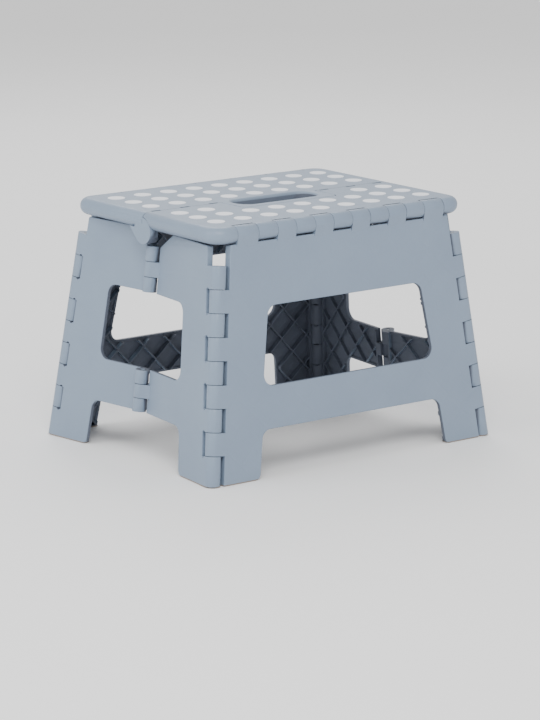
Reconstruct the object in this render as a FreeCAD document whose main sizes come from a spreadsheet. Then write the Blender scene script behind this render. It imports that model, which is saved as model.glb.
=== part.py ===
"""Folding step stool: two hinged top halves, two leg panels and two end panels that fold in the middle.

Millimetres. +X runs along the long side, the front leg panel faces -Y and the floor is z = 0.
The pieces of the left front corner are drawn once and mirrored to the other three corners.
"""
import FreeCAD, Part
import math
import os
import Sketcher
from FreeCAD import Placement, Rotation, Vector

SIZES = (
    # overall
    ("stool_height", 220.0, "floor to top surface"),
    ("top_length", 282.0, "top along X"),
    ("top_depth", 212.0, "top along Y"),
    ("rim_thickness", 15.0, "full round rim of the top"),
    ("rim_flat", 0.6, "flat left between the rim's two rounds"),
    ("plan_corner_radius", 17.0, "corners of the top seen from above"),
    ("top_skin", 3.0, "plate of the top halves"),
    ("rim_width", 10.0, "solid band at the ends of the top"),
    ("barrel_band", 19.0, "solid band along the hinged long edges"),
    ("seam_gap", 0.6, "between the two top halves"),
    ("seam_wall", 3.0, "wall beside the seam"),
    ("seam_round", 0.7, "edge round at the seam"),
    # seam slots
    ("slot_first_x", 62.0, "middle of the seam slot nearest the tongue"),
    ("slot_pitch", 31.2, "between seam slots"),
    ("slot_length", 10.5, "seam slot along X"),
    ("slot_width", 2.6, "seam slot along Y"),
    # tongue and hand hole
    ("tongue_width", 106.0, "tongue along X"),
    ("tongue_reach", 32.0, "tongue past the seam"),
    ("tongue_round", 5.0, "plan corners of the tongue"),
    ("hand_length", 88.0, "hand hole along X"),
    ("hand_back", 6.5, "hand hole behind the seam"),
    ("hand_front", 21.5, "hand hole in front of the seam"),
    ("hand_corner", 12.0, "plan corners of the hand hole"),
    ("hand_round", 2.8, "edge round of the hand hole"),
    ("hand_wall", 4.0, "wall round the hand hole"),
    # grip dots
    ("dot_radius", 7.8, "grip dot"),
    ("dot_proud", 0.5, "dot above the top surface"),
    ("dot_sunk", 1.5, "dot below the top surface"),
    ("dot_pitch_x", 28.9, "dot columns"),
    ("dot_first_y", 21.5, "first dot row from the seam"),
    ("dot_pitch_y", 26.3, "dot rows"),
    ("dot_seat_gap", 0.05, "dot in its seat"),
    # centre hinge
    ("centre_drop", 22.0, "centre hinge axis below the top surface"),
    ("lug_radius", 6.2, "inner centre hinge lug"),
    ("ear_radius", 11.8, "outer centre hinge lug"),
    ("ear_drop", 16.1, "middle of the outer lug's round below the top surface"),
    ("ear_flank", 18.5, "end of the outer lug's flank from the seam"),
    ("lug_width", 6.0, "centre hinge lug along X"),
    ("lug_gap", 0.5, "between neighbouring lugs"),
    ("lug_inset", 0.3, "outer lug from the end of the top"),
    ("lug_web", 6.2, "web of the inner lug from the axis"),
    ("centre_pin_radius", 2.5, "centre hinge pin"),
    ("pin_end_cover", 1.5, "plastic left over a blind pin end"),
    # long edge hinge
    ("knuckle_pitch", 20.7, "long edge knuckles"),
    ("knuckle_gap", 0.7, "between neighbouring knuckles"),
    ("knuckle_end", 116.2, "outer end of the last knuckle"),
    ("notch_clearance", 0.5, "round notch over a leg knuckle"),
    ("edge_pin_radius", 2.5, "long edge hinge pin"),
    ("edge_pin_half", 128.0, "half the long edge pin"),
    ("pin_clearance", 0.05, "radial, pin in its bore"),
    ("pin_end_gap", 0.5, "pin end in a blind bore"),
    # leg panels
    ("leg_tilt", 6.1, "degrees, leg panel from upright"),
    ("leg_depth", 7.4, "leg panel"),
    ("face_inset", 4.35, "long edge axis behind the leg panel's face"),
    ("leg_top_gap", 0.8, "leg panel under the top half's barrel"),
    ("cove_drop", 11.0, "barrel axis to the end of its cove"),
    ("leg_window_top", 148.5, "leg opening, upper edge"),
    ("leg_window_base", 79.7, "leg opening, lower edge"),
    ("leg_window_top_half", 85.8, "leg opening, half width at the top"),
    ("leg_window_base_half", 96.6, "leg opening, half width at the base"),
    ("leg_arch", 42.2, "underside of the lower beam"),
    ("leg_arch_half", 99.9, "foot inner edge at the beam"),
    ("leg_foot_half", 106.1, "foot inner edge at the floor"),
    ("window_round", 9.5, "opening corners"),
    ("arch_round", 9.0, "foot to beam corners"),
    ("foot_round", 6.5, "foot inner bottom corners"),
    ("outer_round", 1.6, "outer panel corners"),
    ("face_round", 0.9, "edge round of panel faces"),
    ("skin", 2.6, "panel face thickness"),
    ("wall", 2.2, "flange round every panel"),
    ("opening_depth", 3.6, "panel depth at the edges of its openings"),
    ("rib_thickness", 1.3, "diagonal ribs"),
    ("rib_pitch", 21.0, "between parallel ribs"),
    # corner hinges
    ("corner_floor_x", 153.4, "corner axis at the floor"),
    ("apex_x", 25.0, "apex of the corner axes"),
    ("corner_radius", 7.0, "corner fingers"),
    ("finger_clearance", 0.6, "panel edge round a finger"),
    ("finger_pitch", 20.15, "height of one finger"),
    ("finger_gap", 0.5, "between neighbouring fingers"),
    ("finger_base", 26.1, "top of the foot finger"),
    ("relief_radius", 1.8, "relief notches at the roots of the end panels' fingers"),
    ("relief_reach", 5.0, "relief notch from the corner axis"),
    ("corner_pin_radius", 2.0, "corner pin"),
    ("corner_bore_floor", 7.0, "foot of the corner bore"),
    # end panels
    ("end_depth", 5.8, "end panel"),
    ("end_top", 203.6, "top edge of the end panels"),
    ("end_window_top", 147.9, "end opening, upper edge"),
    ("end_window_base", 80.2, "end opening, lower edge"),
    ("end_window_top_half", 53.5, "end opening, half width at the top"),
    ("end_window_base_half", 59.9, "end opening, half width at the base"),
    ("end_arch", 41.7, "underside of the lower beam"),
    ("end_arch_half", 64.8, "foot inner edge at the beam"),
    ("end_foot_half", 70.0, "foot inner edge at the floor"),
    ("inner_cut_half", 27.0, "sloped cut for the inner lug, at the top edge"),
    ("outer_cut_half", 17.0, "sloped cut for the outer lug, at the top edge"),
    ("lug_cut_base", 189.0, "sloped cut for the lugs, lowest point"),
    # middle hinges
    ("mid_floor_x", 150.0, "middle axis at the floor"),
    ("mid_offset", 4.0, "middle axis outside the end panel's face, at the floor"),
    ("mid_radius", 6.2, "middle knuckles"),
    ("mid_clearance", 0.6, "panel edge round a middle knuckle"),
    ("mid_ramp", 10.5, "flank from a middle knuckle to the face"),
    ("flank_sink", 0.4, "foot of a flank below the face"),
    ("mid_upper_base", 148.6, "upper middle hinge, lower end"),
    ("mid_upper_top", 189.6, "upper middle hinge, upper end"),
    ("mid_lower_base", 42.6, "lower middle hinge, lower end"),
    ("mid_lower_top", 80.0, "lower middle hinge, upper end"),
    ("mid_pin_radius", 2.0, "middle pin"),
    # soles
    ("sole_thickness", 1.2, "rubber sole under each foot"),
)
LEG_RIB_REACH = 180
END_RIB_REACH = 130
TOP_RIB_REACH = 150
FAR = 400
EVERYWHERE = (f"-{FAR}", f"{FAR}")

doc = FreeCAD.newDocument("step_stool")
sheet = doc.addObject("Spreadsheet::Sheet", "dims")
fit = doc.addObject("Spreadsheet::Sheet", "fit")


def write_cell(table, row, alias, value, note):
    table.set(f"A{row}", note)
    table.set(f"B{row}", str(value))
    table.setAlias(f"B{row}", alias)


for row_number, (size_alias, size_value, size_note) in enumerate(SIZES, start=1):
    write_cell(sheet, row_number, size_alias, size_value, size_note)
doc.recompute()


def number(expression):
    """The value of an expression on the sheets."""
    return float(sheet.evalExpression(expression))


def size(alias):
    return number(f"dims.{alias}")


# ---------------------------------------------------------------- frames

X_AXIS, Y_AXIS, Z_AXIS = Vector(1, 0, 0), Vector(0, 1, 0), Vector(0, 0, 1)


def frame_of(origin, x_dir, y_dir, z_dir):
    return Placement(origin, Rotation(x_dir, y_dir, z_dir, "ZXY"))


tilt = math.radians(size("leg_tilt"))
barrel_radius = size("rim_thickness") / 2
edge_y = -(size("top_depth") / 2 - barrel_radius)
edge_z = size("stool_height") - barrel_radius
edge_point = Vector(0, edge_y, edge_z)
leg_up = Vector(0, math.sin(tilt), math.cos(tilt))
leg_in = Vector(0, math.cos(tilt), -math.sin(tilt))

# leg frame: X along the stool, Y inward through the panel, Z up its face; the origin is on the floor
face_point = edge_point - leg_in * size("face_inset")
leg_origin = face_point - leg_up * (face_point.z / leg_up.z)
leg_frame = frame_of(leg_origin, X_AXIS, leg_in, leg_up)

# the corner axis lies a finger radius inside the leg face and meets the middle axis at the apex
corner_plane = leg_origin + leg_in * size("corner_radius")
apex = corner_plane + leg_up * (-corner_plane.y / leg_up.y)
apex.x = -size("apex_x")
corner_floor = corner_plane + leg_up * (-corner_plane.z / leg_up.z)
corner_floor.x = -size("corner_floor_x")
corner_up = (apex - corner_floor).normalize()
corner_frame = frame_of(corner_floor, leg_in.cross(corner_up), leg_in, corner_up)

# the middle axis lies in the stool's middle plane
mid_floor = Vector(-size("mid_floor_x"), 0, 0)
mid_up = (apex - mid_floor).normalize()

# end face: parallel to the corner axis, a finger radius outside it and mid_offset inside the middle axis
to_mid = mid_floor - corner_floor
across = to_mid - corner_up * to_mid.dot(corner_up)
sine = (size("corner_radius") + size("mid_offset")) / across.Length
across.normalize()
side_out = corner_up.cross(across)
end_out = across * sine + side_out * math.sqrt(1 - sine * sine)
end_in = end_out * -1
end_span = Z_AXIS.cross(end_out).normalize()
end_up = end_span.cross(end_in).normalize()
face_distance = end_out.dot(corner_floor) + size("corner_radius")
end_origin = Vector(face_distance / end_out.x, 0, 0)
end_frame = frame_of(end_origin, end_span, end_in, end_up)
end_corner_frame = frame_of(corner_floor, end_in.cross(corner_up), end_in, corner_up)
mid_frame = frame_of(mid_floor, Y_AXIS.cross(mid_up) * -1, Y_AXIS * -1, mid_up)

# frames whose Z runs along +X, for the pins and barrels that lie along the stool
edge_frame = frame_of(edge_point, Y_AXIS, Z_AXIS, X_AXIS)
centre_point = Vector(0, 0, size("stool_height") - size("centre_drop"))
centre_frame = frame_of(centre_point, Y_AXIS, Z_AXIS, X_AXIS)


def line_in(frame, point, direction):
    """Where a line passes in a panel's own X and Z: its X at Z = 0, and its X per unit of Z."""
    local = frame.inverse().multVec(point)
    run = frame.Rotation.inverted().multVec(direction)
    slope = run.x / run.z
    return local.x - slope * local.z, slope


leg_line = line_in(leg_frame, corner_floor, corner_up)
end_line = line_in(end_frame, corner_floor, corner_up)
finger_reach = size("corner_radius") + size("finger_clearance")
mid_reach = size("mid_radius") + size("mid_clearance")
FITTED = (
    ("leg_rise", 1 / leg_up.z, "length up the leg face per millimetre of height"),
    ("leg_side", -leg_line[0] - finger_reach * math.hypot(1, leg_line[1]), "leg side edge at the floor"),
    ("leg_lean", leg_line[1], "leg side edge per millimetre up"),
    ("edge_up", leg_frame.inverse().multVec(edge_point).z, "long edge axis up the leg face"),
    ("end_rise", 1 / end_up.z, "length up the end face per millimetre of height"),
    ("end_run", 1 / abs(end_span.y), "length along the end face per millimetre of Y"),
    ("end_side", end_line[0] - finger_reach * math.hypot(1, end_line[1]), "end side edge at the floor"),
    ("end_lean", end_line[1], "end side edge per millimetre up"),
    ("end_mid", math.sqrt(mid_reach ** 2 - (size("mid_offset") / 2) ** 2), "end panel edge at the middle"),
    ("corner_rise", 1 / corner_up.z, "length along the corner axis per millimetre of height"),
    ("mid_rise", 1 / mid_up.z, "length along the middle axis per millimetre of height"),
)
for row_number, (fit_alias, fit_value, fit_note) in enumerate(FITTED, start=1):
    write_cell(fit, row_number, fit_alias, fit_value, fit_note)
doc.recompute()


# ---------------------------------------------------------------- drawing helpers

def make(kind, name, **values):
    thing = doc.addObject(kind, name)
    for key, value in values.items():
        setattr(thing, key, value)
    return thing


def block(name, frame, x_span, y_span, z_span):
    """A box in a frame; each span is a pair of expressions."""
    thing = make("Part::Box", name)
    for key, (low, high) in zip(("Length", "Width", "Height"), (x_span, y_span, z_span)):
        thing.setExpression(key, f"({high}) - ({low})")
    corner = Vector(*(number(span[0]) for span in (x_span, y_span, z_span)))
    thing.Placement = frame.multiply(Placement(corner, Rotation()))
    return thing


def rod(name, frame, z_span, radius):
    """A cylinder along a frame's Z."""
    thing = make("Part::Cylinder", name)
    thing.setExpression("Radius", radius)
    thing.setExpression("Height", f"({z_span[1]}) - ({z_span[0]})")
    thing.Placement = frame.multiply(Placement(Vector(0, 0, number(z_span[0])), Rotation()))
    return thing


def fuse(name, pieces):
    return make("Part::MultiFuse", name, Shapes=pieces)


def cut(name, base, tools):
    tool = tools[0] if len(tools) == 1 else fuse(name + "_tools", tools)
    return make("Part::Cut", name, Base=base, Tool=tool)


def common(name, base, tool):
    return make("Part::Common", name, Base=base, Tool=tool)


def mirror(name, source, normal):
    return make("Part::Mirroring", name, Source=source, Normal=normal, Base=Vector())


def round_corner(sketch, corner, radius, before, after, radius_expression):
    """Join two sketch lines at a corner by a tangent arc. corner is its point and the arc's two ends."""
    point, start, finish, centre, left_turn = corner
    first, last = (start, finish) if left_turn else (finish, start)
    first_angle = math.atan2(first.y - centre.y, first.x - centre.x)
    last_angle = math.atan2(last.y - centre.y, last.x - centre.x)
    if last_angle < first_angle:
        last_angle += 2 * math.pi
    circle = Part.Circle(centre, Z_AXIS, radius)
    arc = sketch.addGeometry(Part.ArcOfCircle(circle, first_angle, last_angle), False)
    start_end, finish_end = (1, 2) if left_turn else (2, 1)
    marker = sketch.addGeometry(Part.Point(point), True)
    sketch.addConstraint(Sketcher.Constraint("Tangent", before, 2, arc, start_end))
    sketch.addConstraint(Sketcher.Constraint("Tangent", arc, finish_end, after, 1))
    index = sketch.addConstraint(Sketcher.Constraint("Radius", arc, radius))
    sketch.setExpression(f"Constraints[{index}]", radius_expression)
    sketch.addConstraint(Sketcher.Constraint("PointOnObject", marker, 1, before))
    sketch.addConstraint(Sketcher.Constraint("PointOnObject", marker, 1, after))
    return marker


def draw_loop(sketch, loop):
    """Draw a closed outline. Each corner is (x, y, radius) in expressions; radius None is a sharp corner."""
    points = [Vector(number(corner[0]), number(corner[1]), 0) for corner in loop]
    radii = [number(corner[2]) if corner[2] else 0.0 for corner in loop]
    count = len(loop)
    corners = []
    for i, point in enumerate(points):
        back = (points[i - 1] - point).normalize()
        ahead = (points[(i + 1) % count] - point).normalize()
        half_angle = back.getAngle(ahead) / 2
        reach = radii[i] / math.tan(half_angle)
        centre = point + (back + ahead).normalize() * (radii[i] / math.sin(half_angle))
        left_turn = ahead.cross(back).z > 0
        corners.append((point, point + back * reach, point + ahead * reach, centre, left_turn))
    lines = []
    for i in range(count):
        segment = Part.LineSegment(corners[i][2], corners[(i + 1) % count][1])
        lines.append(sketch.addGeometry(segment, False))
    for i, corner in enumerate(corners):
        before, after = lines[i - 1], lines[i]
        if radii[i] > 0:
            held = round_corner(sketch, corner, radii[i], before, after, loop[i][2])
        else:
            sketch.addConstraint(Sketcher.Constraint("Coincident", before, 2, after, 1))
            held = after
        measures = (("DistanceX", corner[0].x, loop[i][0]), ("DistanceY", corner[0].y, loop[i][1]))
        for kind, value, text in measures:
            index = sketch.addConstraint(Sketcher.Constraint(kind, held, 1, value))
            sketch.setExpression(f"Constraints[{index}]", text)


def body_sketch(body, plane_role, loops):
    sketch = body.newObject("Sketcher::SketchObject", body.Name + "_outline")
    plane = [item for item in body.Origin.OriginFeatures if item.Role == plane_role][0]
    sketch.AttachmentSupport = [(plane, "")]
    sketch.MapMode = "FlatFace"
    for loop in loops:
        draw_loop(sketch, loop)
    return sketch


def body_pad(name, frame, plane_role, loops, depth, inward):
    body = make("PartDesign::Body", name)
    body.Placement = frame
    sketch = body_sketch(body, plane_role, loops)
    pad = body.newObject("PartDesign::Pad", name + "_pad")
    pad.Profile = sketch
    pad.Reversed = inward
    pad.setExpression("Length", depth)
    doc.recompute()
    return body, pad


def body_fillet(body, name, base, wanted, radius):
    """Round every edge of base whose middle and ends satisfy wanted."""
    names = []
    for index, edge in enumerate(base.Shape.Edges, start=1):
        middle = edge.valueAt((edge.FirstParameter + edge.LastParameter) / 2)
        if wanted(middle) and all(wanted(vertex.Point) for vertex in edge.Vertexes):
            names.append(f"Edge{index}")
    fillet = body.newObject("PartDesign::Fillet", name)
    fillet.Base = (base, names)
    fillet.setExpression("Radius", radius)
    doc.recompute()
    return fillet


def prism(name, frame, loops, depth, offset=None):
    """A solid drawn in a frame's X and Z and extruded along its Y; offset insets the outline first."""
    turned = frame.multiply(Placement(Vector(), Rotation(X_AXIS, 90)))
    sketch = make("Sketcher::SketchObject", name + "_sketch", Placement=turned)
    for loop in loops:
        draw_loop(sketch, loop)
    base = make("Part::Face", name + "_face", Sources=[sketch], FaceMakerClass="Part::FaceMakerBullseye")
    if offset:
        base = make("Part::Offset2D", name + "_inset", Source=base, Join=2)
        base.setExpression("Value", f"-({offset})")
    solid = make("Part::Extrusion", name, Base=base, DirMode="Custom", Solid=True)
    solid.Dir = frame.Rotation.multVec(Y_AXIS)
    solid.setExpression("LengthFwd", depth)
    return solid


def shifted(frame, x=0.0, y=0.0, z=0.0):
    return frame.multiply(Placement(Vector(x, y, z), Rotation()))


def lattice_cells(name, hollow, frame, reach, depth_span):
    """Cut two crossing sets of diagonal ribs, in a frame's X and Z, out of a hollow to leave its cells."""
    steps = int(reach / size("rib_pitch"))
    cells = hollow
    for letter, turn in (("a", 45), ("b", -45)):
        turned = frame.multiply(Placement(Vector(), Rotation(Y_AXIS, turn)))
        ribs = []
        for step in range(-steps, steps + 1):
            middle = f"{step} * dims.rib_pitch"
            x_span = (f"{middle} - dims.rib_thickness / 2", f"{middle} + dims.rib_thickness / 2")
            rib_name = f"{name}_rib_{letter}{step + steps}"
            ribs.append(block(rib_name, turned, x_span, depth_span, (f"-{reach}", f"{reach}")))
        rib_set = make("Part::Compound", f"{name}_ribs_{letter}", Links=ribs)
        cells = make("Part::Cut", f"{name}_cells_{letter}", Base=cells, Tool=rib_set)
    return cells


def height_on(expression, rise):
    return f"({expression}) * fit.{rise}"


def ramp(name, frame, radius, z_span, toe_x, toe_y):
    """The straight flank from a barrel round a frame's Z down to a toe point in the frame's X and Y."""
    reach = math.hypot(toe_x, toe_y)
    turn = math.acos(number(radius) / reach)
    angles = [math.atan2(toe_y, toe_x) + sign * turn for sign in (1, -1)]
    touches = [Vector(math.cos(a), math.sin(a), 0) * number(radius) for a in angles]
    touch = min(touches, key=lambda point: point.y)
    low, high = number(z_span[0]), number(z_span[1])
    heel = Vector(0, toe_y, 0) if toe_y > 0 else Vector(toe_x, 0, 0)
    corners = [Vector(), touch, Vector(toe_x, toe_y, 0), heel]
    wire = Part.makePolygon([point + Z_AXIS * low for point in corners + corners[:1]])
    solid = Part.Face(wire).extrude(Z_AXIS * (high - low))
    thing = make("Part::Feature", name, Shape=solid)
    thing.Placement = frame
    return thing


# ---------------------------------------------------------------- leg panels

def leg_height(expression):
    return height_on(expression, "leg_rise")


def leg_side(height):
    """The leg panel's side edge, parallel to the corner axis, at a length up its face."""
    return f"fit.leg_side - fit.leg_lean * ({height})"


LEG_TOP = "fit.edge_up - dims.rim_thickness / 2 - dims.leg_top_gap"
LEG_LOOPS = (
    (
        (f"-({leg_side('0')})", "0", "dims.outer_round"),
        ("-dims.leg_foot_half", "0", "dims.foot_round"),
        ("-dims.leg_arch_half", leg_height("dims.leg_arch"), "dims.arch_round"),
        ("dims.leg_arch_half", leg_height("dims.leg_arch"), "dims.arch_round"),
        ("dims.leg_foot_half", "0", "dims.foot_round"),
        (leg_side("0"), "0", "dims.outer_round"),
        (leg_side(LEG_TOP), LEG_TOP, "dims.outer_round"),
        (f"-({leg_side(LEG_TOP)})", LEG_TOP, "dims.outer_round"),
    ),
    (
        ("-dims.leg_window_base_half", leg_height("dims.leg_window_base"), "dims.window_round"),
        ("dims.leg_window_base_half", leg_height("dims.leg_window_base"), "dims.window_round"),
        ("dims.leg_window_top_half", leg_height("dims.leg_window_top"), "dims.window_round"),
        ("-dims.leg_window_top_half", leg_height("dims.leg_window_top"), "dims.window_round"),
    ),
)


LEG_OPENINGS = (
    LEG_LOOPS[1],
    (
        ("-dims.leg_foot_half", "-dims.wall - 1", None),
        ("dims.leg_foot_half", "-dims.wall - 1", None),
        ("dims.leg_foot_half", "0", None),
        ("dims.leg_arch_half", leg_height("dims.leg_arch"), "dims.arch_round"),
        ("-dims.leg_arch_half", leg_height("dims.leg_arch"), "dims.arch_round"),
        ("-dims.leg_foot_half", "0", None),
    ),
)


def knuckle_spans():
    """The long edge knuckles from left to right, as pairs of expressions, the leg panel's first."""
    bounds = ["-dims.knuckle_end"]
    bounds += [f"{step - 4.5} * dims.knuckle_pitch" for step in range(10)]
    bounds += ["dims.knuckle_end"]
    return list(zip(bounds[:-1], bounds[1:]))


def trimmed(span, gap):
    return f"{span[0]} + {gap} / 2", f"{span[1]} - {gap} / 2"


def finger_span(step):
    """Finger number step above the foot finger, as heights."""
    low = f"(dims.finger_base + {step} * dims.finger_pitch + dims.finger_gap / 2)"
    high = f"(dims.finger_base + {step + 1} * dims.finger_pitch - dims.finger_gap / 2)"
    return low, high


def along(span, rise):
    return height_on(span[0], rise), height_on(span[1], rise)


def corner_bore(name):
    span = along(("dims.corner_bore_floor", "dims.end_top"), "corner_rise")
    return rod(name, corner_frame, span, "dims.corner_pin_radius + dims.pin_clearance")


def fingers(prefix, web_frame, spans, depth):
    """Corner fingers and the webs that carry them, with Y of the web frame pointing into the panel."""
    pieces = []
    reach = ("0", "dims.corner_radius + dims.finger_clearance + dims.wall")
    if web_frame is end_corner_frame:
        reach = (f"-({reach[1]})", "0")
    web = ("-dims.corner_radius", f"{depth} - dims.corner_radius")
    for index, span in enumerate(spans):
        height = along(span, "corner_rise")
        pieces.append(rod(f"{prefix}_finger_{index}", corner_frame, height, "dims.corner_radius"))
        pieces.append(block(f"{prefix}_web_{index}", web_frame, reach, web, height))
    return pieces


def reliefs(prefix, levels):
    """Small round notches at the roots of the end panel's fingers."""
    notches = []
    for index, level in enumerate(levels):
        place = Vector(-size("relief_reach"), 0, number(level))
        turned = end_corner_frame.multiply(Placement(place, Rotation(X_AXIS, 90)))
        notches.append(rod(f"{prefix}_relief_{index}", turned, EVERYWHERE, "dims.relief_radius"))
    return notches


def shell(name, frame, loops, openings, depth, rib_middle, rib_reach):
    """A panel: a face with a flange all round and diagonal ribs behind it. Returns the shell and its solid.

    The flange is lower along the openings, which are drawn again as loops of their own.
    """
    body, pad = body_pad(name + "_slab", frame, "XZ_Plane", loops, depth, True)
    body_fillet(body, name + "_round", pad, lambda point: abs(point.y) < 0.01, "dims.face_round")
    hollow_frame = shifted(frame, y=size("skin"))
    hollow = prism(name + "_hollow", hollow_frame, loops, f"{depth} - dims.skin + 1", "dims.wall")
    rib_frame = shifted(frame, x=rib_middle, z=size("end_top") / 2)
    cells = lattice_cells(name, hollow, rib_frame, rib_reach, ("dims.skin - 0.5", depth))
    low_frame = shifted(frame, y=size("opening_depth"))
    tools = [cells]
    for index, opening in enumerate(openings):
        tools.append(prism(f"{name}_low_{index}", low_frame, [opening], depth, "-dims.wall"))
    return cut(name + "_shell", body, tools), body


def below_sole(name):
    return block(name, Placement(), EVERYWHERE, EVERYWHERE, (f"-{FAR}", "dims.sole_thickness"))


def sole_slice(name):
    return block(name, Placement(), EVERYWHERE, EVERYWHERE, ("0", "dims.sole_thickness"))


def build_leg():
    shell_part, slab = shell("leg", leg_frame, LEG_LOOPS, LEG_OPENINGS, "dims.leg_depth", 0, LEG_RIB_REACH)
    pieces = [shell_part]
    for index, span in enumerate(knuckle_spans()[::2]):
        held = trimmed(span, "dims.knuckle_gap")
        pieces.append(rod(f"leg_knuckle_{index}", edge_frame, held, "dims.rim_thickness / 2"))
        web_height = (f"{LEG_TOP} - dims.wall", "fit.edge_up")
        pieces.append(block(f"leg_knuckle_web_{index}", leg_frame, held, ("0", "dims.leg_depth"), web_height))
        toe_frame = frame_of(edge_point, leg_up * -1, leg_in, X_AXIS)
        pieces.append(ramp(f"leg_cove_{index}", toe_frame, "dims.rim_thickness / 2", held,
                           size("cove_drop"), -size("face_inset")))
    left = fingers("leg", corner_frame, [finger_span(step) for step in (0, 2, 4, 6)], "dims.leg_depth")
    left_fused = fuse("leg_fingers_left", left)
    pieces += [left_fused, mirror("leg_fingers_right", left_fused, X_AXIS)]
    bore = corner_bore("leg_corner_bore")
    edge_bore = rod("leg_edge_bore", edge_frame, EVERYWHERE, "dims.edge_pin_radius + dims.pin_clearance")
    tools = [bore, mirror("leg_corner_bore_right", bore, X_AXIS), edge_bore, below_sole("leg_floor_cut")]
    panel = cut("leg_front", fuse("leg_solid", pieces), tools)
    soles = common("leg_soles_front", slab, sole_slice("leg_sole_slice"))
    return panel, soles


# ---------------------------------------------------------------- end panels

def end_height(expression):
    return height_on(expression, "end_rise")


def end_across(expression):
    return height_on(expression, "end_run")


def end_side(height):
    return f"fit.end_side + fit.end_lean * ({height})"


def end_loops(lug_cut_half):
    """The outline of an end half; the sloped cut at its inner top corner differs between the two kinds."""
    return ((
        (end_across("dims.end_foot_half"), "0", "dims.foot_round"),
        (end_side("0"), "0", "dims.outer_round"),
        (end_side(end_height("dims.end_top")), end_height("dims.end_top"), "dims.outer_round"),
        (end_across(lug_cut_half), end_height("dims.end_top"), "dims.outer_round"),
        ("fit.end_mid", end_height("dims.lug_cut_base"), None),
        ("fit.end_mid", end_height("dims.end_window_top"), None),
        (end_across("dims.end_window_top_half"), end_height("dims.end_window_top"), "dims.window_round"),
        (end_across("dims.end_window_base_half"), end_height("dims.end_window_base"), "dims.window_round"),
        ("fit.end_mid", end_height("dims.end_window_base"), None),
        ("fit.end_mid", end_height("dims.end_arch"), None),
        (end_across("dims.end_arch_half"), end_height("dims.end_arch"), "dims.arch_round"),
    ),)


END_OPENINGS = (
    (
        ("0", end_height("dims.end_window_base"), None),
        (end_across("dims.end_window_base_half"), end_height("dims.end_window_base"), "dims.window_round"),
        (end_across("dims.end_window_top_half"), end_height("dims.end_window_top"), "dims.window_round"),
        ("0", end_height("dims.end_window_top"), None),
    ),
    (
        ("0", "-dims.wall - 1", None),
        (end_across("dims.end_foot_half"), "-dims.wall - 1", None),
        (end_across("dims.end_foot_half"), "0", None),
        (end_across("dims.end_arch_half"), end_height("dims.end_arch"), "dims.arch_round"),
        ("0", end_height("dims.end_arch"), None),
    ),
)
MID_HINGES = (("lower", "dims.mid_lower_base", "dims.mid_lower_top"),
              ("upper", "dims.mid_upper_base", "dims.mid_upper_top"))


def mid_span(base, top, third):
    """One of the three knuckles of a middle hinge, as heights; 0 is the lowest."""
    low = f"({base} + ({top} - {base}) * {third} / 3 + dims.finger_gap / 2)"
    high = f"({base} + ({top} - {base}) * ({third} + 1) / 3 - dims.finger_gap / 2)"
    return low, high


def mid_knuckles(prefix, thirds):
    """The knuckles of one end half: a barrel, a web to the panel and a flank down to the panel's face."""
    pieces = []
    flank_x = (end_span - mid_up * end_span.dot(mid_up)).normalize()
    flank_frame = frame_of(mid_floor, flank_x, mid_up.cross(flank_x), mid_up)
    for hinge, base, top in MID_HINGES:
        for third in thirds:
            heights = mid_span(base, top, third)
            held = along(heights, "mid_rise")
            pieces.append(rod(f"{prefix}_{hinge}_{third}", mid_frame, held, "dims.mid_radius"))
            pieces.append(block(f"{prefix}_{hinge}_{third}_web", end_frame, ("0", "fit.end_mid + dims.wall"),
                                ("0", "dims.end_depth"), along(heights, "end_rise")))
            middle = (number(heights[0]) + number(heights[1])) / 2
            axis_point = mid_floor + mid_up * (middle / mid_up.z)
            inside = (end_origin - axis_point).dot(end_in)
            pieces.append(ramp(f"{prefix}_{hinge}_{third}_flank", flank_frame, "dims.mid_radius", held,
                               size("mid_ramp"), inside + size("flank_sink")))
    return pieces


def build_end(prefix, thirds, shell_part):
    spans = [("0", "(dims.finger_base - dims.finger_gap / 2)")]
    spans += [finger_span(step) for step in (1, 3, 5, 7)]
    pieces = [shell_part] + mid_knuckles(prefix + "_mid", thirds)
    pieces += fingers(prefix, end_corner_frame, spans, "dims.end_depth")
    solid = fuse(prefix + "_solid", pieces)
    leg_fingers = [along(finger_span(step), "corner_rise") for step in (0, 2, 4, 6)]
    tools = reliefs(prefix, [level for span in leg_fingers for level in span])
    tools.append(corner_bore(prefix + "_corner_bore"))
    tools.append(rod(prefix + "_mid_bore", mid_frame, ("0", "dims.stool_height"),
                     "dims.mid_pin_radius + dims.pin_clearance"))
    tools.append(below_sole(prefix + "_floor_cut"))
    return cut(prefix, solid, tools)


def mid_stubs(prefix, base, top):
    stubs = []
    for third in (0, 2):
        span = mid_span(base, top, third)
        span = (f"{span[0]} + dims.pin_end_gap", f"{span[1]} - dims.pin_end_gap")
        stubs.append(rod(f"{prefix}_{third}", mid_frame, along(span, "mid_rise"), "dims.mid_pin_radius"))
    return make("Part::Compound", prefix, Links=stubs)


# ---------------------------------------------------------------- top halves

HALF_X = "dims.top_length / 2"
HALF_Y = "dims.top_depth / 2"
SEAM = "dims.seam_gap / 2"


def signed(side, expression):
    return expression if side > 0 else f"-({expression})"


def seam_corners(side):
    """The outline along the seam: the back half has the tongue and the front half the recess round it."""
    gap = "0" if side > 0 else "dims.seam_gap"
    width = f"dims.tongue_width / 2 + {gap}"
    reach = f"-(dims.tongue_reach + {gap})"
    seam = signed(side, SEAM)
    return [(f"-({HALF_X})", seam, None), (f"-({width})", seam, None),
            (f"-({width})", reach, "dims.tongue_round"), (width, reach, "dims.tongue_round"),
            (width, seam, None), (HALF_X, seam, None)]


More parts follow.
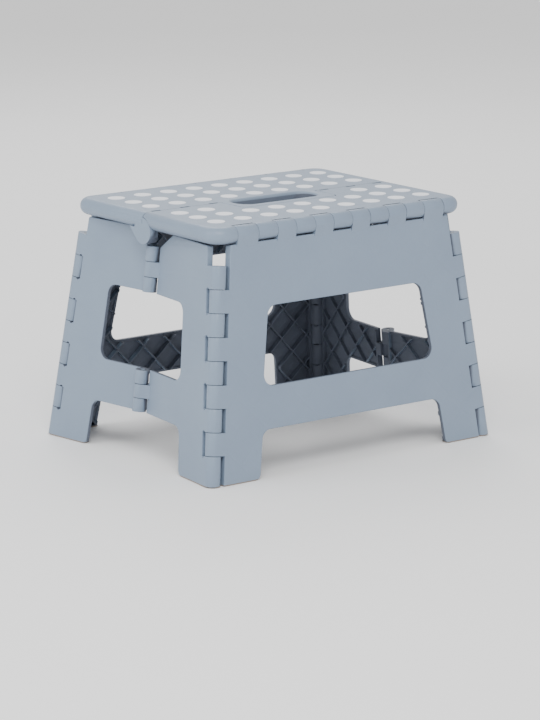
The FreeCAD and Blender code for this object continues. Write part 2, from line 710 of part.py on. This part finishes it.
def top_loops(side):
    far = signed(side, HALF_Y)
    outline = seam_corners(side)
    outline += [(HALF_X, far, "dims.plan_corner_radius"), (f"-({HALF_X})", far, "dims.plan_corner_radius")]
    hole = [("-dims.hand_length / 2", "-dims.hand_front", "dims.hand_corner"),
            ("dims.hand_length / 2", "-dims.hand_front", "dims.hand_corner"),
            ("dims.hand_length / 2", "dims.hand_back", "dims.hand_corner"),
            ("-dims.hand_length / 2", "dims.hand_back", "dims.hand_corner")]
    return [outline, hole] if side > 0 else [outline]


def hollow_loop(side):
    """The ribbed hollow under a top half, clear of the rim, the seam wall and the tongue or its recess."""
    end_x = f"{HALF_X} - dims.rim_width"
    seam = signed(side, f"{SEAM} + dims.seam_wall")
    if side > 0:
        inner_x = "dims.hand_length / 2 + dims.hand_wall"
        inner_y = "dims.hand_back + dims.hand_wall"
    else:
        inner_x = "dims.tongue_width / 2 + dims.seam_gap + dims.seam_wall"
        inner_y = "-(dims.tongue_reach + dims.seam_gap + dims.seam_wall)"
    far = signed(side, f"{HALF_Y} - dims.barrel_band")
    return [(f"-({end_x})", seam, None), (f"-({inner_x})", seam, None), (f"-({inner_x})", inner_y, None),
            (inner_x, inner_y, None), (inner_x, seam, None), (end_x, seam, None),
            (end_x, far, None), (f"-({end_x})", far, None)]


def dot_columns(side, row):
    """Column numbers of a row of grip dots; the tongue takes the middle of the front half's first row."""
    columns = range(-4, 5)
    return [c for c in columns if side > 0 or row > 0 or abs(c) > 2]


def dot_rods(prefix, side, low, high, radius):
    rods = []
    for row in range(3):
        for column in dot_columns(side, row):
            away = side * (size("dot_first_y") + row * size("dot_pitch_y"))
            centre = Vector(column * size("dot_pitch_x"), away, size("stool_height"))
            place = Placement(centre, Rotation())
            rods.append(rod(f"{prefix}_{row}_{column + 4}", place, (low, high), radius))
    return rods


def half_frame(side, frame):
    """A frame drawn for the back half, turned round for the front half."""
    return frame if side > 0 else Placement(Vector(), Rotation(Z_AXIS, 180)).multiply(frame)


def outer_lug(name, side):
    """The large lug at the end of the rim; it reaches across the seam."""
    place = Vector(0, 0, size("stool_height") - size("ear_drop"))
    frame = half_frame(side, frame_of(place, Y_AXIS, Z_AXIS, X_AXIS))
    span = OUTER_LUG
    flank_height = size("ear_drop") - size("rim_thickness") + 1
    return [rod(name, frame, span, "dims.ear_radius"),
            ramp(name + "_flank", frame, "dims.ear_radius", span, size("ear_flank"), flank_height)]


def inner_lug(name, side):
    frame = half_frame(side, centre_frame)
    web_frame = half_frame(side, Placement())
    web_z = ("dims.stool_height - dims.centre_drop", "dims.stool_height - dims.rim_thickness / 2 - 1")
    return [rod(name, frame, INNER_LUG, "dims.lug_radius"),
            block(name + "_web", web_frame, INNER_LUG, (SEAM, "dims.lug_web"), web_z)]


OUTER_LUG = (f"-({HALF_X} - dims.lug_inset)", f"-({HALF_X} - dims.lug_inset - dims.lug_width)")
INNER_LUG = (f"{HALF_X} - dims.lug_inset - 2 * dims.lug_width - dims.lug_gap",
             f"{HALF_X} - dims.lug_inset - dims.lug_width - dims.lug_gap")


def outer_lug_notch(name, side):
    """Room in the other half for this half's outer lug."""
    place = Vector(0, 0, size("stool_height") - size("ear_drop"))
    frame = half_frame(side, frame_of(place, Y_AXIS, Z_AXIS, X_AXIS))
    span = (f"-({HALF_X}) - 1", f"-({HALF_X} - dims.lug_inset - dims.lug_width - dims.lug_gap)")
    return rod(name, frame, span, "dims.ear_radius + dims.lug_gap")


def centre_pin_span(end, slack):
    """The centre pin from its blind end in the outer lug to the inner lug's inner face."""
    blind = f"{HALF_X} - dims.lug_inset - dims.pin_end_cover - {slack}"
    inner = f"{HALF_X} - dims.lug_inset - 2 * dims.lug_width - dims.lug_gap"
    return (f"-({blind})", f"-({inner})") if end < 0 else (inner, blind)


def build_top(side):
    name = "back" if side > 0 else "front"
    under = Placement(Vector(0, 0, size("stool_height") - size("rim_thickness")), Rotation())
    body, pad = body_pad(f"top_{name}_slab", under, "XY_Plane", top_loops(side), "dims.rim_thickness", False)
    half_x, half_y = size("top_length") / 2, size("top_depth") / 2
    thickness, near_corner = size("rim_thickness"), size("plan_corner_radius")

    def on_rim(point):
        flat = point.z < 0.01 or point.z > thickness - 0.01
        outer = abs(point.x) > half_x - 0.01 or abs(point.y) > half_y - 0.01
        corner = abs(point.x) > half_x - near_corner and abs(point.y) > half_y - near_corner
        return flat and (outer or corner)

    rim = body_fillet(body, f"top_{name}_rim", pad, on_rim, "(dims.rim_thickness - dims.rim_flat) / 2")
    reach = size("tongue_reach") + size("seam_gap") + 0.01
    seam_x = half_x - thickness / 2 + 0.3

    def on_hole(point):
        inside = abs(point.x) < size("hand_length") / 2 + 0.01 and -size("hand_front") - 0.01 < point.y
        return inside and point.y < size("hand_back") + 0.01 and (point.z < 0.01 or point.z > thickness - 0.01)

    def on_seam(point):
        along_seam = -reach < point.y < size("seam_gap") and abs(point.x) < seam_x
        return along_seam and point.z > thickness - 0.01 and not (side > 0 and on_hole(point))

    last = body_fillet(body, f"top_{name}_seam", rim, on_seam, "dims.seam_round")
    if side > 0:
        body_fillet(body, "top_back_hand", last, on_hole, "dims.hand_round")

    bottom = "dims.stool_height - dims.rim_thickness"
    hollow_frame = frame_of(Vector(0, 0, number(bottom) - 1), X_AXIS, Z_AXIS, Y_AXIS * -1)
    loop = [(corner[0], f"-({corner[1]})", corner[2]) for corner in hollow_loop(side)]
    hollow = prism(f"top_{name}_hollow", hollow_frame, [loop], "dims.rim_thickness - dims.top_skin + 1")
    cells = lattice_cells(f"top_{name}", hollow, shifted(hollow_frame, z=-side * half_y / 2), TOP_RIB_REACH,
                          ("1", "dims.rim_thickness + 1"))
    notch = outer_lug_notch(f"top_{name}_lug_notch", -side)
    pieces = [cut(f"top_{name}_shell", body, [cells, notch])]
    pieces += outer_lug(f"top_{name}_outer_lug", side)
    pieces += inner_lug(f"top_{name}_inner_lug", side)
    solid = fuse(f"top_{name}_solid", pieces)

    tools = dot_rods(f"top_{name}_seat", side, "-dims.dot_sunk", "dims.dot_proud + 1",
                     "dims.dot_radius + dims.dot_seat_gap")
    for end in (-1, 1):
        tools.append(rod(f"top_{name}_lug_bore_{end + 1}", centre_frame, centre_pin_span(end, "0"),
                         "dims.centre_pin_radius + dims.pin_clearance"))
    for step in range(3):
        middle = f"dims.slot_first_x + {step} * dims.slot_pitch"
        x_span = (f"{middle} - dims.slot_length / 2", f"{middle} + dims.slot_length / 2")
        if side > 0:
            x_span = (f"-({x_span[1]})", f"-({x_span[0]})")
        y_span = ("0", "dims.slot_width") if side > 0 else ("-dims.slot_width", "0")
        tools.append(block(f"top_{name}_slot_{step}", Placement(), x_span, y_span,
                           (f"{bottom} - 1", "dims.stool_height + 1")))
    tools += knuckle_notches(f"top_{name}", side)
    return cut(f"top_half_{name}", solid, tools)


def knuckle_notches(prefix, side):
    """Room for the leg knuckles along the outer edge, and the bore for their pin."""
    tools = []
    radius = "dims.rim_thickness / 2 + dims.notch_clearance"
    for index, wide in enumerate(knuckle_spans()[::2]):
        tools.append(rod(f"{prefix}_notch_{index}", edge_frame, wide, radius))
        tools.append(block(f"{prefix}_notch_out_{index}", Placement(), wide,
                           (f"-({HALF_Y}) - 1", f"-({HALF_Y} - dims.rim_thickness / 2)"),
                           ("dims.stool_height - dims.rim_thickness - 1", "dims.stool_height + 1")))
    bore_half = "(dims.edge_pin_half + dims.pin_end_gap)"
    tools.append(rod(f"{prefix}_edge_bore", edge_frame, (f"-{bore_half}", bore_half),
                     "dims.edge_pin_radius + dims.pin_clearance"))
    if side < 0:
        return tools
    return [mirror(f"{tool.Name}_back", tool, Y_AXIS) for tool in tools]


# ---------------------------------------------------------------- assembly

NODES = {}


def node(name, thing):
    thing.Label = name
    NODES[name] = thing


def corner_set(stem, source):
    """The left front piece and its mirror images at the other corners."""
    node(f"{stem}_left_front", source)
    left_back = mirror(f"{stem}_left_back_m", source, Y_AXIS)
    node(f"{stem}_left_back", left_back)
    node(f"{stem}_right_front", mirror(f"{stem}_right_front_m", source, X_AXIS))
    node(f"{stem}_right_back", mirror(f"{stem}_right_back_m", left_back, X_AXIS))


for half_side in (1, -1):
    half_name = "back" if half_side > 0 else "front"
    node(f"top_half_{half_name}", build_top(half_side))
    dots = dot_rods(f"dot_{half_name}", half_side, "-dims.dot_sunk", "dims.dot_proud", "dims.dot_radius")
    node(f"grip_dots_{half_name}", make("Part::Compound", f"dots_{half_name}", Links=dots))

leg_panel, leg_soles = build_leg()
node("leg_panel_front", leg_panel)
node("leg_panel_back", mirror("leg_back", leg_panel, Y_AXIS))
node("foot_pads_front", leg_soles)
node("foot_pads_back", mirror("leg_soles_back", leg_soles, Y_AXIS))

inner_shell, end_slab = shell("end_a", end_frame, end_loops("dims.inner_cut_half"), END_OPENINGS,
                              "dims.end_depth", size("end_window_base_half"), END_RIB_REACH)
outer_shell, outer_slab = shell("end_b", end_frame, end_loops("dims.outer_cut_half"), END_OPENINGS,
                                "dims.end_depth", size("end_window_base_half"), END_RIB_REACH)
inner_half = build_end("end_inner", (1,), inner_shell)
outer_half = build_end("end_outer", (0, 2), outer_shell)
node("end_panel_left_front", inner_half)
node("end_panel_left_back", mirror("end_left_back", outer_half, Y_AXIS))
node("end_panel_right_front", mirror("end_right_front", outer_half, X_AXIS))
inner_back = mirror("end_inner_back", inner_half, Y_AXIS)
node("end_panel_right_back", mirror("end_right_back", inner_back, X_AXIS))

foot_finger = rod("end_foot_finger", corner_frame, ("0", height_on("dims.finger_base", "corner_rise")),
                  "dims.corner_radius")
foot_reach = ("-(dims.corner_radius + dims.finger_clearance + dims.wall)", "0")
foot_web = block("end_foot_web", end_corner_frame, foot_reach,
                 ("-dims.corner_radius", "dims.end_depth - dims.corner_radius"), ("0", "dims.finger_base"))
end_foot = fuse("end_foot", [end_slab, foot_finger, foot_web])
corner_set("foot_pad", common("end_sole", end_foot, sole_slice("end_sole_slice")))

corner_pin_heights = ("dims.corner_bore_floor + dims.pin_end_gap",
                      "dims.finger_base + 8 * dims.finger_pitch - dims.pin_end_gap")
corner_set("corner_pin", rod("corner_pin", corner_frame, along(corner_pin_heights, "corner_rise"),
                             "dims.corner_pin_radius"))

edge_pin = rod("edge_pin", edge_frame, ("-dims.edge_pin_half", "dims.edge_pin_half"), "dims.edge_pin_radius")
node("edge_pin_front", edge_pin)
node("edge_pin_back", mirror("edge_pin_back_m", edge_pin, Y_AXIS))
for pin_end, pin_side in ((-1, "left"), (1, "right")):
    pin_span = centre_pin_span(pin_end, "dims.pin_end_gap")
    node(f"centre_pin_{pin_side}",
         rod(f"centre_pin_{pin_side}_rod", centre_frame, pin_span, "dims.centre_pin_radius"))
for hinge_name, hinge_base, hinge_top in MID_HINGES:
    stub_pair = mid_stubs(f"mid_stubs_{hinge_name}", hinge_base, hinge_top)
    node(f"mid_pins_left_{hinge_name}", mirror(f"mid_stubs_left_{hinge_name}", stub_pair, Y_AXIS))
    node(f"mid_pins_right_{hinge_name}", mirror(f"mid_stubs_right_{hinge_name}", stub_pair, X_AXIS))

doc.recompute()

os.makedirs("parts", exist_ok=True)
for thing in doc.Objects:
    if "Invalid" in thing.State or "Error" in thing.State:
        raise RuntimeError(f"{thing.Label} did not build: {thing.State}")
for node_name, thing in NODES.items():
    if thing.Shape.isNull() or not thing.Shape.isValid() or not thing.Shape.Solids:
        raise RuntimeError(f"{node_name} has no valid solid")
for node_name, thing in NODES.items():
    thing.Shape.exportStep(f"parts/{node_name}.step")
    print(f"{node_name}: {len(thing.Shape.Solids)} solid(s), {thing.Shape.Volume / 1000:.1f} cm3")
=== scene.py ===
"""Folding step stool: finishes, soft edges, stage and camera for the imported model."""
import math

import bmesh
import bpy
from mathutils import Matrix, Vector


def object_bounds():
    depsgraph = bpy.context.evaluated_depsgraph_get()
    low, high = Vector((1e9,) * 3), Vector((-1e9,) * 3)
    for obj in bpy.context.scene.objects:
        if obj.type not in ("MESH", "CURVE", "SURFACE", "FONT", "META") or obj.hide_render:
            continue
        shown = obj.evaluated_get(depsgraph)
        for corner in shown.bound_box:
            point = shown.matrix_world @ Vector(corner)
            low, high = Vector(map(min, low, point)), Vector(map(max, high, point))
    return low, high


bl_info = {
    "name": "Folding step stool",
    "version": (1, 0, 0),
    "blender": (4, 5, 0),
    "location": "3D View > Sidebar > Step stool",
    "description": "Finishes and stage for a folding step stool",
    "category": "Object",
}

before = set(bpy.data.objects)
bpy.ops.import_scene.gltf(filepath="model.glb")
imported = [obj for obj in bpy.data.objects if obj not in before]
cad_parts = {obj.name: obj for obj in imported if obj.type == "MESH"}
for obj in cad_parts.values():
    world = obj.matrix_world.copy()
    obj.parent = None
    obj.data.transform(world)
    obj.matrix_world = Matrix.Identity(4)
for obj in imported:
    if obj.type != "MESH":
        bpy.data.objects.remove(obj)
CAD_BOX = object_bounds()
MM = 0.001
LENS_MM = 161.6
SENSOR_MM = 36
PLASTIC_IOR = 1.49
RUBBER_IOR = 1.5
TOPS = ("top_half_back", "top_half_front")
LEGS = ("leg_panel_front", "leg_panel_back")
ENDS = ("end_panel_left_front", "end_panel_left_back", "end_panel_right_front", "end_panel_right_back")


def colour(label, hex_value, about):
    """A colour property given as an sRGB hex string."""
    channels = [int(hex_value[i:i + 2], 16) / 255 for i in (1, 3, 5)]
    linear = [c / 12.92 if c <= 0.04045 else ((c + 0.055) / 1.055) ** 2.4 for c in channels]
    return bpy.props.FloatVectorProperty(name=label, description=about, subtype="COLOR", size=3,
                                         min=0, max=1, default=linear)


def length(label, millimetres, about):
    return bpy.props.FloatProperty(name=label, description=about, default=millimetres * MM,
                                   unit="LENGTH", min=0, precision=5)


def factor(label, value, about):
    return bpy.props.FloatProperty(name=label, description=about, default=value, min=0, max=10)


class StoolSettings(bpy.types.PropertyGroup):
    """Sizes and colours of the finishes and the stage."""
    plastic: colour("Plastic", "#7C8CA0", "Outer faces of the mouldings")
    plastic_pale: colour("Plastic, pale", "#8696A9", "Cloudy lighter flow of the moulding")
    # painted shade: the dark colour given to the inner faces for the shade inside the stool
    plastic_inside_shade: colour("Plastic inside", "#5A616F", "Matt ribbed inner faces")
    dot: colour("Grip dot", "#F1F3F8", "Soft elastomer dots")
    sole: colour("Sole", "#8A7F76", "Rubber under the feet")
    steel: colour("Steel", "#9A9DA1", "Hinge pins")
    floor: colour("Floor", "#FFFFFF", "Studio floor")
    grain: length("Grain", 0.45, "Fine texture of the mould")
    grain_depth: length("Grain depth", 0.02, "Height of the fine texture")
    cloud: length("Cloud", 45.0, "Size of the cloudy flow marks")
    sink_pitch: length("Sink mark pitch", 21.0, "Between the sink marks over the ribs")
    sink_depth: length("Sink mark depth", 0.12, "Depth of the sink marks over the ribs")
    edge_round: length("Edge round", 0.35, "Soft edges of the mouldings")
    dot_round: length("Dot edge round", 0.3, "Soft edges of the dots")
    key: factor("Key light", 1.0, "Strength of the key light")
    camera_distance: length("Camera distance", 2928.5, "From the middle of the stool")


def settings():
    return bpy.context.scene.stool


# ---------------------------------------------------------------- shader helpers

def add_node(tree, kind, inputs=None, **values):
    """A shader node with its fields set and its inputs set or linked."""
    node = tree.nodes.new(kind)
    for key, value in values.items():
        setattr(node, key, value)
    for key, value in (inputs or {}).items():
        if isinstance(value, bpy.types.NodeSocket):
            tree.links.new(value, node.inputs[key])
        else:
            node.inputs[key].default_value = value
    return node


def maths(tree, operation, *values):
    """The result of one maths step on numbers or sockets."""
    return add_node(tree, "ShaderNodeMath", dict(enumerate(values)), operation=operation).outputs[0]


def mix(tree, amount, first, second):
    """Mix two colours."""
    node = add_node(tree, "ShaderNodeMix", data_type="RGBA")
    for index, value in ((0, amount), (6, first), (7, second)):
        if isinstance(value, bpy.types.NodeSocket):
            tree.links.new(value, node.inputs[index])
        else:
            node.inputs[index].default_value = value
    return node.outputs[2]


def rgba(value):
    return (*value, 1.0)


def new_material(name, viewport):
    material = bpy.data.materials.new(name)
    material.use_nodes = True
    material.diffuse_color = rgba(viewport)
    tree = material.node_tree
    tree.nodes.clear()
    shader = add_node(tree, "ShaderNodeBsdfPrincipled")
    output = add_node(tree, "ShaderNodeOutputMaterial")
    tree.links.new(shader.outputs[0], output.inputs[0])
    return material, tree, shader


def object_point(tree):
    return add_node(tree, "ShaderNodeTexCoord").outputs["Object"]


def noise(tree, point, millimetres, detail=2.0, roughness=0.5):
    """Noise whose features are about that many millimetres across."""
    inputs = {"Vector": point, "Scale": 1 / (millimetres * MM), "Detail": detail, "Roughness": roughness}
    return add_node(tree, "ShaderNodeTexNoise", inputs).outputs["Fac"]


def bump(tree, height, depth, normal=None):
    inputs = {"Height": height, "Distance": depth, "Strength": 1.0}
    if normal:
        inputs["Normal"] = normal
    return add_node(tree, "ShaderNodeBump", inputs).outputs[0]


def inward_shade_mask(tree, point):
    """0 on faces that look away from the middle of the stool and 1 on faces that look at it."""
    middle = (CAD_BOX[0] + CAD_BOX[1]) / 2
    away = add_node(tree, "ShaderNodeVectorMath", {0: point, 1: middle}, operation="SUBTRACT").outputs[0]
    away = add_node(tree, "ShaderNodeVectorMath", {0: away}, operation="NORMALIZE").outputs[0]
    normal = add_node(tree, "ShaderNodeNewGeometry").outputs["Normal"]
    local = add_node(tree, "ShaderNodeVectorTransform", {0: normal}, vector_type="NORMAL",
                     convert_from="WORLD", convert_to="OBJECT").outputs[0]
    facing = add_node(tree, "ShaderNodeVectorMath", {0: local, 1: away},
                      operation="DOT_PRODUCT").outputs["Value"]
    return add_node(tree, "ShaderNodeMapRange", {"Value": facing, "From Min": 0.12, "From Max": -0.12},
                    clamp=True).outputs[0]


def sink_marks(tree, point, pitch):
    """Faint crossing bands over the diagonal ribs behind an upright face, 0 to 1."""
    parts = add_node(tree, "ShaderNodeSeparateXYZ", {0: point})
    bands = []
    for operation in ("ADD", "SUBTRACT"):
        across = maths(tree, operation, parts.outputs["X"], parts.outputs["Z"])
        turns = maths(tree, "MULTIPLY", across, 2 * math.pi / (pitch * math.sqrt(2)))
        wave = maths(tree, "SINE", turns)
        bands.append(maths(tree, "POWER", maths(tree, "MAXIMUM", wave, 0.0), 12.0))
    return maths(tree, "MAXIMUM", *bands)


# ---------------------------------------------------------------- materials

def plastic(name, marks):
    """Injection moulded polypropylene: even blue-grey with a satin mould grain and cloudy flow."""
    s = settings()
    material, tree, shader = new_material(name, s.plastic)
    point = object_point(tree)
    # slow clouds of tone, so that large flat faces aren't one dead colour
    cloud = noise(tree, point, s.cloud / MM, 3.0)
    tone = mix(tree, cloud, rgba(s.plastic), rgba(s.plastic_pale))
    # painted shade: the ribbed inner side, facing the middle of the stool, is painted much darker than the
    # outer side; it is matt as well
    inside = inward_shade_mask(tree, point)
    tone = mix(tree, inside, tone, rgba(s.plastic_inside_shade))
    tree.links.new(tone, shader.inputs["Base Color"])
    # satin outside with small changes of gloss from handling; dull inside
    gloss = add_node(tree, "ShaderNodeMapRange", {"Value": noise(tree, point, 14.0, 4.0),
                                                  "To Min": 0.36, "To Max": 0.5}).outputs[0]
    rough = maths(tree, "ADD", gloss, maths(tree, "MULTIPLY", inside, 0.2))
    tree.links.new(rough, shader.inputs["Roughness"])
    shader.inputs["IOR"].default_value = PLASTIC_IOR
    # fine mould grain seen as a soft sparkle in the highlights
    normal = bump(tree, noise(tree, point, s.grain / MM, 2.0), s.grain_depth)
    if marks:
        # shallow sink marks over the ribs catch the light as faint diagonals
        normal = bump(tree, maths(tree, "SUBTRACT", 1.0, sink_marks(tree, point, s.sink_pitch)), s.sink_depth,
                      normal)
    tree.links.new(normal, shader.inputs["Normal"])
    return material


def elastomer(name, base, blotch_size, rough):
    """Soft moulded elastomer or rubber: matt, with a powdery fine texture."""
    material, tree, shader = new_material(name, base)
    point = object_point(tree)
    # slight greying in blotches, as soft rubber picks up dust
    blotch = maths(tree, "MULTIPLY", noise(tree, point, blotch_size, 4.0), 0.14)
    dusty = [channel * 0.8 for channel in base]
    tree.links.new(mix(tree, blotch, rgba(base), rgba(dusty)), shader.inputs["Base Color"])
    # the powdery skin scatters the highlight
    change = add_node(tree, "ShaderNodeMapRange", {"Value": noise(tree, point, 1.6, 3.0),
                                                   "To Min": rough - 0.07, "To Max": rough + 0.07}).outputs[0]
    tree.links.new(change, shader.inputs["Roughness"])
    shader.inputs["IOR"].default_value = RUBBER_IOR
    tree.links.new(bump(tree, noise(tree, point, 0.5, 2.0), 0.02 * MM), shader.inputs["Normal"])
    return material


def drawn_steel(name):
    """Cold drawn steel: fine lines along X, as the long edge pins run, and a dull shine."""
    s = settings()
    material, tree, shader = new_material(name, s.steel)
    point = object_point(tree)
    lines = add_node(tree, "ShaderNodeMapping", {"Vector": point, "Scale": (0.02, 1.0, 1.0)}).outputs[0]
    streak = noise(tree, lines, 0.25, 2.0)
    dark = [channel * 0.72 for channel in s.steel]
    # the drawing lines alternate light and dark
    tree.links.new(mix(tree, streak, rgba(s.steel), rgba(dark)), shader.inputs["Base Color"])
    shader.inputs["Metallic"].default_value = 1.0
    rough = maths(tree, "ADD", maths(tree, "MULTIPLY", streak, 0.15), 0.28)
    tree.links.new(rough, shader.inputs["Roughness"])
    tree.links.new(bump(tree, streak, 0.01 * MM), shader.inputs["Normal"])
    return material


def finish_node(name, material):
    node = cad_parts[name]
    node.data.materials.clear()
    node.data.materials.append(material)


def soften(name, width):
    """Round a node's sharp edges by modifiers, leaving its mesh as it is."""
    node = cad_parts[name]
    weld = node.modifiers.new("Weld", "WELD")
    weld.merge_threshold = 0.002 * MM
    bevel = node.modifiers.new("Soft edges", "BEVEL")
    bevel.width = width
    bevel.segments = 2
    bevel.limit_method = "ANGLE"
    bevel.angle_limit = math.radians(40)
    bevel.harden_normals = True


# ---------------------------------------------------------------- operators

class Piece:
    """Shared by the operators: runs build() and reports success."""
    bl_options = {"REGISTER", "UNDO"}

    def execute(self, context):
        self.build()
        return {"FINISHED"}


class STOOL_OT_mouldings(Piece, bpy.types.Operator):
    """Finish the top halves, the leg panels and the end panels"""
    bl_idname = "stool.mouldings"
    bl_label = "Mouldings"

    def build(self):
        s = settings()
        plain = plastic("moulded_polypropylene", False)
        marked = plastic("moulded_polypropylene_sink_marks", True)
        for name in TOPS + LEGS + ENDS:
            finish_node(name, marked if name in LEGS + ENDS else plain)
            soften(name, s.edge_round)


class STOOL_OT_grip_dots(Piece, bpy.types.Operator):
    """Finish the grip dots"""
    bl_idname = "stool.grip_dots"
    bl_label = "Grip dots"

    def build(self):
        s = settings()
        material = elastomer("white_elastomer", s.dot, 9.0, 0.62)
        for name in ("grip_dots_back", "grip_dots_front"):
            finish_node(name, material)
            soften(name, s.dot_round)


class STOOL_OT_soles(Piece, bpy.types.Operator):
    """Finish the rubber soles"""
    bl_idname = "stool.soles"
    bl_label = "Soles"

    def build(self):
        material = elastomer("sole_rubber", settings().sole, 6.0, 0.8)
        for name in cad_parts:
            if name.startswith("foot_pad"):
                finish_node(name, material)


class STOOL_OT_pins(Piece, bpy.types.Operator):
    """Finish the hinge pins"""
    bl_idname = "stool.pins"
    bl_label = "Pins"

    def build(self):
        material = drawn_steel("drawn_steel")
        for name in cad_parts:
            if "pin" in name:
                finish_node(name, material)


class STOOL_OT_stage(Piece, bpy.types.Operator):
    """Make the floor, the lights and the camera"""
    bl_idname = "stool.stage"
    bl_label = "Stage"

    def build(self):
        make_floor()
        make_lights()
        make_camera()


def make_floor():
    s = settings()
    mesh = bpy.data.meshes.new("floor")
    shape = bmesh.new()
    bmesh.ops.create_grid(shape, x_segments=2, y_segments=2, size=6.0)
    shape.to_mesh(mesh)
    shape.free()
    floor = bpy.data.objects.new("floor", mesh)
    bpy.context.scene.collection.objects.link(floor)
    material, tree, shader = new_material("studio_floor", s.floor)
    # barely uneven paper, so that the contact shadows stay soft
    tone = noise(tree, object_point(tree), 300.0, 2.0)
    grey = [channel * 0.97 for channel in s.floor]
    tree.links.new(mix(tree, tone, rgba(s.floor), rgba(grey)), shader.inputs["Base Color"])
    shader.inputs["Roughness"].default_value = 0.85
    mesh.materials.append(material)


def area_light(name, place, target, power, width):
    light = bpy.data.lights.new(name, "AREA")
    light.energy = power
    light.shape = "DISK"
    light.size = width
    holder = bpy.data.objects.new(name, light)
    holder.location = place
    holder.rotation_euler = (Vector(target) - Vector(place)).to_track_quat("-Z", "Y").to_euler()
    bpy.context.scene.collection.objects.link(holder)


def make_lights():
    key = settings().key
    area_light("key", (-1.1, -1.5, 1.9), (0, 0, 0.1), 34.0 * key, 1.2)
    area_light("fill", (-1.8, 0.4, 1.2), (0, 0, 0.1), 12.0 * key, 1.4)
    area_light("back", (0.9, 1.5, 1.6), (0, 0, 0.1), 14.0 * key, 1.2)
    world = bpy.data.worlds.new("studio")
    world.use_nodes = True
    background = world.node_tree.nodes["Background"]
    background.inputs[0].default_value = (1, 1, 1, 1)
    background.inputs[1].default_value = 0.95
    bpy.context.scene.world = world


def make_camera():
    azimuth, elevation, roll = (math.radians(angle) for angle in (-37.993, 12.679, 0.196))
    back = Vector((math.sin(azimuth) * math.cos(elevation), -math.cos(azimuth) * math.cos(elevation),
                   math.sin(elevation)))
    right = Vector((math.cos(azimuth), math.sin(azimuth), 0))
    up = back.cross(right)
    middle = Vector((0, 0, 110 * MM))
    lens = bpy.data.cameras.new("camera")
    lens.lens = LENS_MM
    lens.sensor_width = SENSOR_MM
    lens.dof.use_dof = False
    holder = bpy.data.objects.new("camera", lens)
    place = middle + back * settings().camera_distance + right * 1.232 * MM - up * 39.731 * MM
    turned = Matrix.Rotation(roll, 3, back) @ Matrix((right, up, back)).transposed()
    holder.matrix_world = Matrix.Translation(place) @ turned.to_4x4()
    bpy.context.scene.collection.objects.link(holder)
    bpy.context.scene.camera = holder


class VIEW3D_PT_stool(bpy.types.Panel):
    """The stool's settings and steps"""
    bl_idname = "VIEW3D_PT_stool"
    bl_label = "Step stool"
    bl_space_type = "VIEW_3D"
    bl_region_type = "UI"
    bl_category = "Step stool"

    def draw(self, context):
        for key in StoolSettings.__annotations__:
            self.layout.prop(context.scene.stool, key)
        for operator in STEPS:
            self.layout.operator(operator.bl_idname)


STEPS = (STOOL_OT_mouldings, STOOL_OT_grip_dots, STOOL_OT_soles, STOOL_OT_pins, STOOL_OT_stage)
CLASSES = (StoolSettings, *STEPS, VIEW3D_PT_stool)


def register():
    for item in CLASSES:
        bpy.utils.register_class(item)
    bpy.types.Scene.stool = bpy.props.PointerProperty(type=StoolSettings)


def unregister():
    del bpy.types.Scene.stool
    for item in reversed(CLASSES):
        bpy.utils.unregister_class(item)


def main():
    register()
    for step in STEPS:
        if getattr(bpy.ops.stool, step.bl_idname.split(".")[1])() != {"FINISHED"}:
            raise RuntimeError(f"{step.bl_label} did not finish")


if __name__ == "__main__":
    main()
